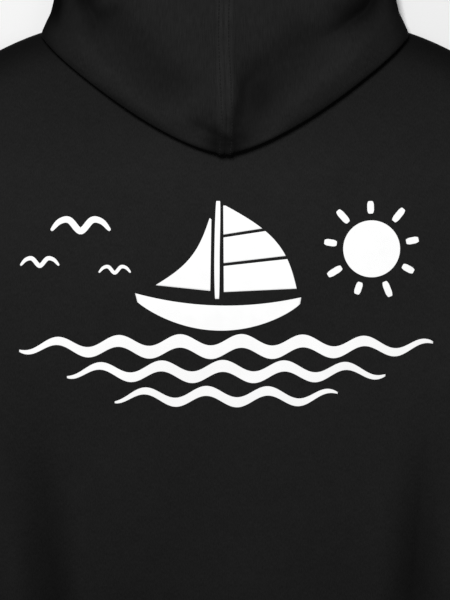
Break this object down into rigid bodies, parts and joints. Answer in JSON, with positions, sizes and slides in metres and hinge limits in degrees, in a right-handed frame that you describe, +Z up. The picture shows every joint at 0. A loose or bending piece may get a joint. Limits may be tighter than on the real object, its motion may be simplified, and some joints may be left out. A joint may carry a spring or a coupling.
{
  "type": "hooded sweatshirt",
  "caption": "Pullover hooded sweatshirt laid on its front, back upwards, with the hood folded down over the back, set-in sleeves, ribbed cuffs and hem, and a front pouch pocket.",
  "frame": {"origin": "middle of the footprint, on the surface that the garment lies on", "axes": "+X across the garment towards the wearer's right, +Y from the hem towards the hood, +Z up out of the back"},
  "size_m": [1.0812, 0.8322, 0.0575],
  "materials": {
    "fleece": "matt black brushed fleece with a fine knit face",
    "rib": "matt black rib knit",
    "thread": "matt black sewing thread",
    "tape": "black twill neck tape",
    "print": "thin matt white printed film",
    "eyelet_metal": "blackened metal, satin"
  },
  "bodies": {
    "root": {"back_panel": "fleece", "front_panel": "fleece", "sleeve_right": "fleece", "sleeve_left": "fleece", "cuff_right": "rib", "cuff_left": "rib", "hem_back": "rib", "hem_front": "rib", "pocket": "fleece", "hood_right": "fleece", "hood_left": "fleece", "eyelet_right": "eyelet_metal", "eyelet_left": "eyelet_metal"}
  },
  "joints": []
}
